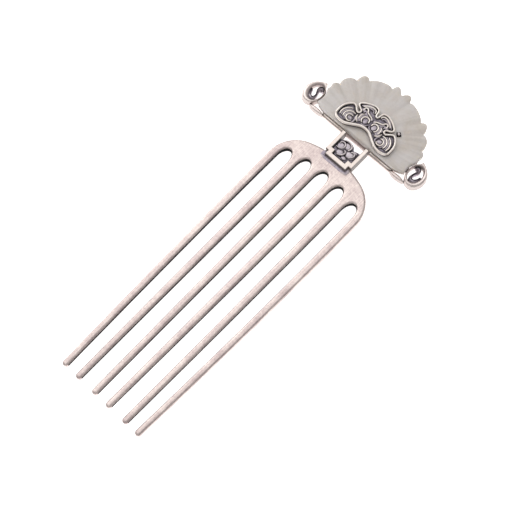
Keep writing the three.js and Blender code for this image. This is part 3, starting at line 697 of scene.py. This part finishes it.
def taper(count, start, middle, end, fullness=0.6):
    """Radius factors that swell from the start to the middle and shrink to the end."""
    factors = []
    for i in range(count):
        share = i / (count - 1)
        ease = math.sin(math.pi * share) ** fullness
        factors.append(blend_of(blend_of(start, end, share), middle, ease))
    return factors


def lay_wire(name, points, radius, level, factors=None):
    """A round wire in mm through the points, resting on a level."""
    bpy.ops.object.select_all(action="DESELECT")
    bpy.ops.curve.primitive_bezier_curve_add(location=(0, 0, 0))
    wire = bpy.context.object
    wire.name = wire.data.name = name
    curve = wire.data
    curve.dimensions = "3D"
    curve.bevel_depth = radius * MM
    curve.bevel_resolution = 4
    curve.resolution_u = 8
    curve.use_fill_caps = True
    run = curve.splines[0]
    run.bezier_points.add(len(points) - 2)
    for i, (knot, (x, y)) in enumerate(zip(run.bezier_points, points)):
        factor = factors[i] if factors else 1.0
        knot.co = (x * MM, y * MM, (level + radius * factor) * MM)
        knot.radius = factor
        knot.handle_left_type = knot.handle_right_type = "AUTO"
    bpy.ops.object.convert(target="MESH")
    bpy.ops.object.mode_set(mode="EDIT")
    bpy.ops.mesh.select_all(action="SELECT")
    bpy.ops.mesh.remove_doubles(threshold=0.001 * MM)
    bpy.ops.mesh.normals_make_consistent(inside=False)
    bpy.ops.object.mode_set(mode="OBJECT")
    return wire


# %% Bow and rim
BOW_RADIUS = 0.43
RIM_RADIUS = 0.28
bow_half = spots(
    (0, 0.27), (0.15, 0.25), (0.29, 0.175), (0.435, 0.09), (0.57, 0.02), (0.68, 0), (0.82, 0.005),
    (0.93, 0.045), (0.985, 0.11))
rim_half = spots(
    (0.99, 0.1), (0.998, 0.17), (1, 0.26), (0.985, 0.38), (0.94, 0.49), (0.86, 0.59),
    (0.765, 0.655), (0.68, 0.63), (0.6, 0.56), (0.525, 0.52), (0.465, 0.555), (0.475, 0.625),
    (0.555, 0.672), (0.63, 0.725),
    (0.645, 0.785), (0.585, 0.845), (0.48, 0.915), (0.335, 0.98), (0.18, 1), (0.09, 0.96),
    (0.058, 0.87), (0.042, 0.79), (0, 0.755))


def both_sides(half):
    """A run from the left end over the axis to the right end, from points that start at the axis."""
    on_axis = abs(half[0][0]) < 1e-6
    return (mirrored(half)[:0:-1] if on_axis else mirrored(half)[::-1]) + list(half)


def shifted(points, dx):
    return [(x + dx, y) for x, y in points]


bow_run = shifted(both_sides(bow_half), PLAQUE_X)
bow = lay_wire("bow_wire", bow_run, BOW_RADIUS, WIRE_BASE, taper(len(bow_run), 0.6, 1.0, 0.6, 0.25))
settle(bow, polished_sterling, "bright_silver", "cloud_bow")
rim_run = shifted(both_sides(rim_half[::-1]), PLAQUE_X)
rim = lay_wire("rim_wire", rim_run, RIM_RADIUS, WIRE_BASE, taper(len(rim_run), 1.15, 1.0, 1.15))
settle(rim, polished_sterling, "bright_silver", "cloud_rim")

# %% Scrolls
SCROLL_RADIUS = 0.24
outer_eye = spot(0.58, 0.24)
inner_eye = spot(0.162, 0.47)
scrolls = {
    "outer_scroll": arc(outer_eye, (1.1, 1.0), 115, -150, 7),
    "outer_contour": arc(outer_eye, 2.0, 105, -25, 5),
    "outer_ridge": arc(outer_eye, (3.0, 3.05), 68, -18, 5),
    "inner_scroll": arc(inner_eye, (0.95, 1.3), 185, -60, 7),
    "inner_contour": arc(inner_eye, 2.1, 40, -25, 4),
    "divider": spots((0.465, 0.46), (0.455, 0.385), (0.4, 0.32), (0.335, 0.285)),
    "hook": spots(
        (0.425, 0.68), (0.435, 0.75), (0.392, 0.795), (0.33, 0.775), (0.288, 0.71), (0.2, 0.675),
        (0.105, 0.645), (0.055, 0.6)),
    "crest": spots(
        (0.11, 0.82), (0.14, 0.895), (0.22, 0.92), (0.335, 0.893), (0.45, 0.83), (0.51, 0.765)),
}
for name, points in scrolls.items():
    for word, run in (("left", mirrored(points)), ("right", points)):
        run = shifted(run, PLAQUE_X)
        wire = lay_wire(f"{name}_wire_{word}", run, SCROLL_RADIUS, WIRE_BASE,
                        taper(len(run), 0.75, 1.1, 0.75))
        settle(wire, polished_sterling, "bright_silver", f"cloud_{name}_{word}")

# %% [markdown]
# The plate under the wires follows the rim and the bow a little outside them. Its face is dark with
# sulphide, and its edge is filed to a slant so that a thin line of it shows.

# %% Plate of the plaque
PLAQUE_BACK = 3.73
PLAQUE_FRONT = 4.18
PLATE_MARGIN = 0.22
PLATE_SLANT = 0.08  # mm filed off its front edge


def offset_loop(points, margin):
    """A closed run of points moved outwards by a margin; the run goes counter-clockwise."""
    moved = []
    for i, here in enumerate(points):
        before, after = Vector(points[i - 1]), Vector(points[(i + 1) % len(points)])
        along = (after - before).normalized()
        moved.append((here[0] + along.y * margin, here[1] - along.x * margin))
    return moved


plaque_loop = shifted(both_sides(bow_half), PLAQUE_X)
plaque_loop += shifted(both_sides(rim_half[::-1]), PLAQUE_X)[::-1]
bpy.ops.object.select_all(action="DESELECT")
plaque = saw_plate("plaque_plate", offset_loop(plaque_loop, PLATE_MARGIN), PLAQUE_BACK,
                   PLAQUE_FRONT - PLATE_SLANT, ((PLATE_SLANT, PLATE_SLANT),))
settle(plaque, oxidised_silver, "oxidised_silver", "cloud_plate", angle=30)

# %% [markdown]
# Between the bright wires the cloud relief has lower bands that were never polished. They are sunk
# wires of the relief finish, and the gaps beside them read as black lines.

# %% Relief bands
BAND_RADIUS = 0.27
BAND_SINK = 0.16  # mm that a band's round back lies below the wires' level
bands = {
    "outer_band": arc(outer_eye, 1.53, 100, -60, 7),
    "outer_wide_band": arc(outer_eye, (2.5, 2.55), 80, -22, 7),
    "outer_eye": arc(outer_eye, (0.5, 0.35), 100, -150, 6),
    "inner_eye": arc(inner_eye, (0.45, 0.6), 170, -60, 6),
    "inner_band": arc(inner_eye, 1.68, 60, -45, 6),
    "inner_foot_band": arc(inner_eye, (1.4, 1.5), 200, 292, 5),
    "outer_back_band": arc(outer_eye, 1.5, 128, 222, 5),
    "brow_band": spots((0.27, 0.55), (0.34, 0.58), (0.4, 0.55), (0.42, 0.5)),
    "hook_band": spots(
        (0.39, 0.63), (0.36, 0.7), (0.3, 0.66), (0.22, 0.615), (0.12, 0.6)),
    "crest_band": spots(
        (0.16, 0.8), (0.2, 0.86), (0.27, 0.865), (0.36, 0.845), (0.46, 0.79)),
    "shoulder_band": spots(
        (0.57, 0.77), (0.52, 0.8), (0.45, 0.86), (0.36, 0.925), (0.2, 0.95)),
    "lap_band": spots((0.42, 0.44), (0.4, 0.385), (0.35, 0.34), (0.31, 0.32)),
}
for name, points in bands.items():
    for word, run in (("left", mirrored(points)), ("right", points)):
        run = shifted(run, PLAQUE_X)
        band = lay_wire(f"{name}_{word}", run, BAND_RADIUS, WIRE_BASE - BAND_SINK,
                        taper(len(run), 0.7, 1.0, 0.7))
        settle(band, relief_silver, "oxidised_silver")

# %% [markdown]
# ## End rings
# Each ring was cast: a fat band, round in front and flat behind, thick on the outside, thin beside the
# jade, with a tail that leans on the fan. Its outline and its opening differ in shape, so the band is
# drawn as one loop that is extruded and laid down again for each line of its section.

# %% Loft helper and ring shapes
RING_SHARES = (
    (-0.7, -0.71), (-0.52, -0.87), (-0.27, -0.965), (0.03, -1), (0.37, -0.95), (0.63, -0.8),
    (0.83, -0.58), (0.96, -0.32), (1, -0.02), (0.94, 0.27), (0.78, 0.53), (0.53, 0.75),
    (0.22, 0.93), (-0.08, 1.06), (-0.32, 1.14), (-0.43, 1.11), (-0.44, 1.0), (-0.55, 0.86),
    (-0.72, 0.7), (-0.866, 0.5), (-0.96, 0.28), (-1, 0), (-0.966, -0.26), (-0.866, -0.5))
OPENING_CENTRE = (-0.55, 0.25)
OPENING_HALF = (1.9, 2.75)
# Lines of the band's section: share of the way from the opening to the outline, and level in mm.
RING_SECTION = (
    (0.94, 0.5), (1.0, 0.66), (1.0, 1.6), (0.985, 2.0), (0.93, 2.35), (0.82, 2.65), (0.67, 2.84),
    (0.5, 2.9), (0.33, 2.84), (0.18, 2.65), (0.07, 2.35), (0.015, 2.0), (0.0, 1.6), (0.0, 0.66),
    (0.06, 0.5))


def through(points, per, closed=False):
    """A smooth run through the points, with per steps between neighbours."""
    run = []
    last = len(points) if closed else len(points) - 1
    for i in range(last):
        ring = [points[(i + k) % len(points)] if closed else points[min(max(i + k, 0), len(points) - 1)]
                for k in (-1, 0, 1, 2)]
        for step in range(per):
            t = step / per
            weights = (-0.5 * t + t**2 - 0.5 * t**3, 1 - 2.5 * t**2 + 1.5 * t**3,
                       0.5 * t + 2 * t**2 - 1.5 * t**3, -0.5 * t**2 + 0.5 * t**3)
            run.append(tuple(sum(w * p[axis] for w, p in zip(weights, ring)) for axis in range(2)))
    return run if closed else run + [points[-1]]


def loft(name, rows, hollow=True):
    """Draws the first row of points (x, y, z in mm) as a loop and extrudes it to every further row.
    A hollow piece has its last row bridged to the first; the others get both ends filled."""
    piece = trace(name, [(x, y) for x, y, z in rows[0]], rows[0][0][2], fill=False)
    body = bmesh.from_edit_mesh(piece.data)
    order = body.verts.layers.int.new("order")
    for number, (vert, place) in enumerate(zip(body.verts, rows[0])):
        vert[order] = number
        vert.co = Vector(place) * MM
    bmesh.update_edit_mesh(piece.data)
    bpy.ops.mesh.select_mode(type="EDGE")
    for row in rows[1:]:
        bpy.ops.mesh.extrude_edges_move()
        body = bmesh.from_edit_mesh(piece.data)
        order = body.verts.layers.int["order"]
        for vert in body.verts:
            if vert.select:
                vert.co = Vector(row[vert[order]]) * MM
        bmesh.update_edit_mesh(piece.data)
    if hollow:
        choose(piece, "edges", lambda edge: len(edge.link_faces) == 1)
        bpy.ops.mesh.bridge_edge_loops()
    else:
        for row in (rows[0], rows[-1]):
            corners = [Vector(point) * MM for point in row]
            choose(piece, "edges", lambda edge: all(
                min((vert.co - corner).length for corner in corners) < 0.001 * MM for vert in edge.verts))
            bpy.ops.mesh.edge_face_add()
    bpy.ops.mesh.select_all(action="SELECT")
    bpy.ops.mesh.normals_make_consistent(inside=False)
    if bmesh.from_edit_mesh(piece.data).calc_volume(signed=True) < 0:
        bpy.ops.mesh.flip_normals()
    return piece


def in_box(x):
    """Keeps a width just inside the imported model's box."""
    return min(max(x, cad_box[0].x / MM), cad_box[1].x / MM)


# %% Cast the rings
for word, side in (("left", -1), ("right", 1)):
    centre = (HEAD_X + side * RING_X, RING_Y)
    rim_line = through([(u * RING_HALF_WIDTH, v * RING_HALF_HEIGHT) for u, v in RING_SHARES], 4,
                       closed=True)
    rows = []
    for share, level in RING_SECTION:
        row = []
        for x, y in rim_line:
            turn = math.atan2((y - OPENING_CENTRE[1]) / OPENING_HALF[1],
                              (x - OPENING_CENTRE[0]) / OPENING_HALF[0])
            inner = (OPENING_CENTRE[0] + OPENING_HALF[0] * math.cos(turn),
                     OPENING_CENTRE[1] + OPENING_HALF[1] * math.sin(turn))
            row.append((in_box(centre[0] + side * blend_of(inner[0], x, share)),
                        centre[1] + blend_of(inner[1], y, share), level))
        rows.append(row)
    ring = loft(f"cast_ring_{word}", rows)
    settle(ring, cast_silver, "silver", f"end_ring_{word}", angle=50)

# %% [markdown]
# Inside each ring a flat curl is soldered: a deep cup at the foot, a thin neck and a hook at the top.
# It is a ribbon whose width changes along its middle line.

# %% Curls
CURL_LINE = ((0.95, 0.5), (0.88, -0.5), (0.45, -1.4), (-0.3, -1.72), (-0.9, -1.3), (-1.0, -0.5),
             (-0.8, 0.3), (-0.5, 1.1), (-0.6, 1.85), (-1.1, 2.1), (-1.65, 1.6))
CURL_WIDTHS = (0.5, 1.0, 1.45, 1.5, 1.15, 0.75, 0.7, 1.0, 1.25, 1.1, 0.6)
CURL_REACH = 1.1  # the line above is stretched by this from the opening's centre, onto the ring
# Section: share of the half width and level in mm. The edges stand up round a hollow.
CURL_SECTION = ((-1, 0.6), (-1, 1.75), (-0.88, 2.05), (-0.66, 2.15), (-0.35, 1.95), (0, 1.82),
                (0.35, 1.95), (0.66, 2.15), (0.88, 2.05), (1, 1.75), (1, 0.6))

curl_middle = through([(OPENING_CENTRE[0] + CURL_REACH * (x - OPENING_CENTRE[0]),
                        OPENING_CENTRE[1] + CURL_REACH * (y - OPENING_CENTRE[1])) for x, y in CURL_LINE], 4)
curl_wide = [wide for wide, nothing in through([(w, 0) for w in CURL_WIDTHS], 4)]
for word, side in (("left", -1), ("right", 1)):
    rows = []
    for i, (x, y) in enumerate(curl_middle):
        along = (Vector(curl_middle[min(i + 1, len(curl_middle) - 1)])
                 - Vector(curl_middle[max(i - 1, 0)])).normalized()
        half = curl_wide[i] / 2
        rows.append([(HEAD_X + side * (RING_X + x - along.y * half * across),
                      RING_Y + y + along.x * half * across, level) for across, level in CURL_SECTION])
    curl = loft(f"curl_{word}", rows, hollow=False)
    settle(curl, relief_silver, "oxidised_silver", f"end_curl_{word}", angle=50)

# %% [markdown]
# ## Braces
# A small leaf of silver bridges from the bezel to the foot of each ring. Its face is rounded, with a
# small flat left in the middle.

# %% Braces
BRACE_X, BRACE_Y = 14.98, 9.63
BRACE_HALF = (2.45, 0.66)
# Sections from the back to the crown: share of the outline and level in mm.
BRACE_SECTION = ((0.92, 0.5), (1, 0.62), (1, 1.6), (0.95, 1.88), (0.84, 2.08), (0.66, 2.2), (0.42, 2.27),
                 (0.18, 2.3))
for word, side in (("left", -1), ("right", 1)):
    rows = [[(HEAD_X + side * (BRACE_X + BRACE_HALF[0] * share * x),
              BRACE_Y + BRACE_HALF[1] * share * y, level)
             for x, y in oval(48)] for share, level in BRACE_SECTION]
    brace = loft(f"leaf_brace_{word}", rows, hollow=False)
    settle(brace, cast_silver, "silver", f"brace_{word}", angle=50)

# %% [markdown]
# ## Neck
# The window of the neck holds a little cloud relief. Its puffs are low domes, each an oval that is
# extruded up and in to its crown, and the bright ridges curl over them.

# %% Cloud puffs
# Sections of a puff from its foot to its crown: share of the outline and share of the height.
PUFF_SECTION = ((0.98, 0), (1, 0.12), (0.98, 0.35), (0.9, 0.62), (0.76, 0.82), (0.56, 0.94), (0.3, 0.985),
                (0.04, 1))


def puff(name, x, y, half_x, half_y, base, height):
    """A low dome with an oval foot, in mm."""
    rows = [[(x + half_x * share * u, y + half_y * share * v, base + height * rise)
             for u, v in oval(40)] for share, rise in PUFF_SECTION]
    piece = loft(name, rows, hollow=False)
    settle(piece, relief_silver, "oxidised_silver", angle=60)


# Level of the floor that a puff stands on and its height, in mm.
NECK_FLOOR, NECK_PUFF_HEIGHT = 2.74, 0.36
PLAQUE_FLOOR, PLAQUE_PUFF_HEIGHT = 4.2, 0.32
# Centre and half sizes in mm, from the head's axis.
NECK_PUFFS = {
    "puff_left": (-2.0, 5.75, 1.35, 1.2), "puff_top": (-0.5, 6.75, 1.15, 1.05),
    "puff_low": (-1.0, 3.95, 1.15, 1.0), "puff_right": (1.75, 5.1, 1.5, 1.2),
    "puff_foot": (0.9, 3.3, 0.9, 0.6), "puff_corner": (2.35, 6.55, 0.75, 0.6),
}
for name, (x, y, half_x, half_y) in NECK_PUFFS.items():
    puff(name, HEAD_X + x, y, half_x, half_y, NECK_FLOOR, NECK_PUFF_HEIGHT)
# Centre and half sizes on the plaque, in mm from its axis and its foot.
PLAQUE_PUFFS = {
    "outer_puff": (5.54, 2.36, 0.85, 0.78), "inner_puff": (1.55, 4.5, 0.72, 1.0),
    "hook_puff": (2.75, 6.35, 0.5, 0.55), "brow_puff": (4.1, 6.9, 0.75, 0.55),
    "lap_puff": (3.25, 3.6, 0.5, 0.5), "axis_puff": (0.55, 6.1, 0.45, 0.6),
}
for name, (x, y, half_x, half_y) in PLAQUE_PUFFS.items():
    for word, side in (("left", -1), ("right", 1)):
        puff(f"{name}_{word}", PLAQUE_X + side * x, PLAQUE_Y + y, half_x, half_y,
             PLAQUE_FLOOR, PLAQUE_PUFF_HEIGHT)

# %% Ridges
RIDGE_RADIUS = 0.22
RIDGE_BASE = 3.02
ridges = {
    "neck_scroll_left": ((-3.1, 4.75), (-2.2, 4.75), (-1.4, 5.15), (-1.05, 5.9), (-1.35, 6.65),
                         (-2.1, 6.95), (-2.75, 6.5), (-2.85, 6.0)),
    "neck_scroll_right": ((1.1, 4.1), (1.9, 4.25), (2.5, 4.8), (2.75, 5.5), (2.4, 6.05), (1.8, 6.2),
                          (1.35, 5.85)),
    "neck_arch": ((-2.7, 7.35), (-1.6, 7.85), (-0.6, 7.85), (0.3, 7.5), (0.72, 6.8), (0.62, 6.2),
                  (0.35, 5.75)),
    "neck_lobe": ((-0.45, 5.2), (0.1, 4.95), (0.25, 4.4), (0.02, 3.7), (-0.6, 3.2), (-1.5, 3.0)),
}
for name, points in ridges.items():
    ridge = lay_wire(name + "_ridge", shifted(points, HEAD_X), RIDGE_RADIUS, RIDGE_BASE,
                     taper(len(points), 0.6, 1.1, 0.6))
    settle(ridge, rubbed_silver, "silver", name)

# %% [markdown]
# ## Rivets
# Two posts hold the jade and the plaque, and a small pin with a black washer stands beside the plaque.
# They are turned: a profile of circles round each axis. Their wide heads lie behind the head plate.

# %% Turn the rivets
RIVET_SIDES = 32
POST_PROFILE = ((0.45, 0.0), (0.8, 0.05), (0.95, 0.16), (1.0, 0.3), (1.0, 0.4), (0.55, 0.41), (0.55, 3.69))
PIN_PROFILE = ((0.3, 0.0), (0.62, 0.05), (0.76, 0.15), (0.8, 0.28), (0.8, 0.4), (0.34, 0.41), (0.34, 3.94),
               (0.4, 3.97), (0.4, 4.08), (0.33, 4.19), (0.2, 4.25), (0.08, 4.26))
POST_SPAN, POST_Y = 4.2, 14.6
PIN_SPOT = (7.3, 18.85)


def turned(name, x, y, profile):
    """A turned piece round an upright axis, from (radius, level) pairs in mm."""
    return loft(name, [[(x + radius * u, y + radius * v, level)
                        for u, v in oval(RIVET_SIDES)]
                       for radius, level in profile], hollow=False)


for word, side in (("left", -1), ("right", 1)):
    post = turned(f"turned_post_{word}", PLAQUE_X + side * POST_SPAN, POST_Y, POST_PROFILE)
    settle(post, brushed_sterling, "silver", f"post_{word}")
pin = turned("turned_pin", *PIN_SPOT, PIN_PROFILE)
settle(pin, rubbed_silver, "blackened_silver", "jade_pin")

# %% Washer
WASHER_HOLE = 0.42
WASHER_HALF = 0.85
WASHER_SECTION = ((1, 3.67), (1, 3.8), (0.8, 3.9), (0.5, 3.93), (0.2, 3.92), (0, 3.9), (0, 3.67))
rows = []
for share, level in WASHER_SECTION:
    row = []
    for u, v in oval(64):
        lobe = WASHER_HALF * (0.84 + 0.16 * math.cos(4 * math.atan2(v, u)))
        radius = blend_of(WASHER_HOLE, lobe, share)
        row.append((PIN_SPOT[0] + radius * u, PIN_SPOT[1] + radius * v, level))
    rows.append(row)
washer = loft("pin_washer", rows)
settle(washer, blackened_silver, "blackened_silver", "jade_pin_washer", angle=60)

# %% [markdown]
# The solder that holds the neck has flowed out over the shoulder in a thin film round the frame's
# foot. It fades out at its edge, and file marks run across it.

# %% Solder film
FILM_BACK = 2.6
FILM_WALL = 0.06
FILM_STEPS = ((0.12, 0.03), (0.14, 0.04), (0.16, 0.03))
film_half = [(3.73, 2.02), (4.3, 2.02), (4.75, 1.7), (4.85, 1.0), (4.8, 0.2), (4.5, -0.25), (3.6, -0.35),
             (2.2, -0.4), (0.8, -0.32)]
film_outline = [(HEAD_X + x, y) for x, y in film_half]
film_outline += [(HEAD_X - x, y) for x, y in film_half[::-1]]
film_outline += [(HEAD_X - 3.73, 0.67), (HEAD_X + 3.73, 0.67)]
film = saw_plate("solder_film", film_outline, FILM_BACK, FILM_BACK + FILM_WALL, FILM_STEPS)
settle(film, solder_seam, "oxidised_silver", "neck_foot", angle=60)

# %% [markdown]
# ## Carried-over pieces
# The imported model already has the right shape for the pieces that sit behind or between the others.
# They keep their mesh and get the finish they have on the comb.

# %% Finishes for the carried-over pieces
FINISHES = {
    "head_plate": brushed_sterling, "neck_frame": framing_silver, "neck_panel": oxidised_silver,
    "bezel_left": framing_silver, "bezel_right": framing_silver,
}
for name, material in FINISHES.items():
    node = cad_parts[name]
    node.data.materials.clear()
    node.data.materials.append(material)
print("carried over", len(FINISHES))
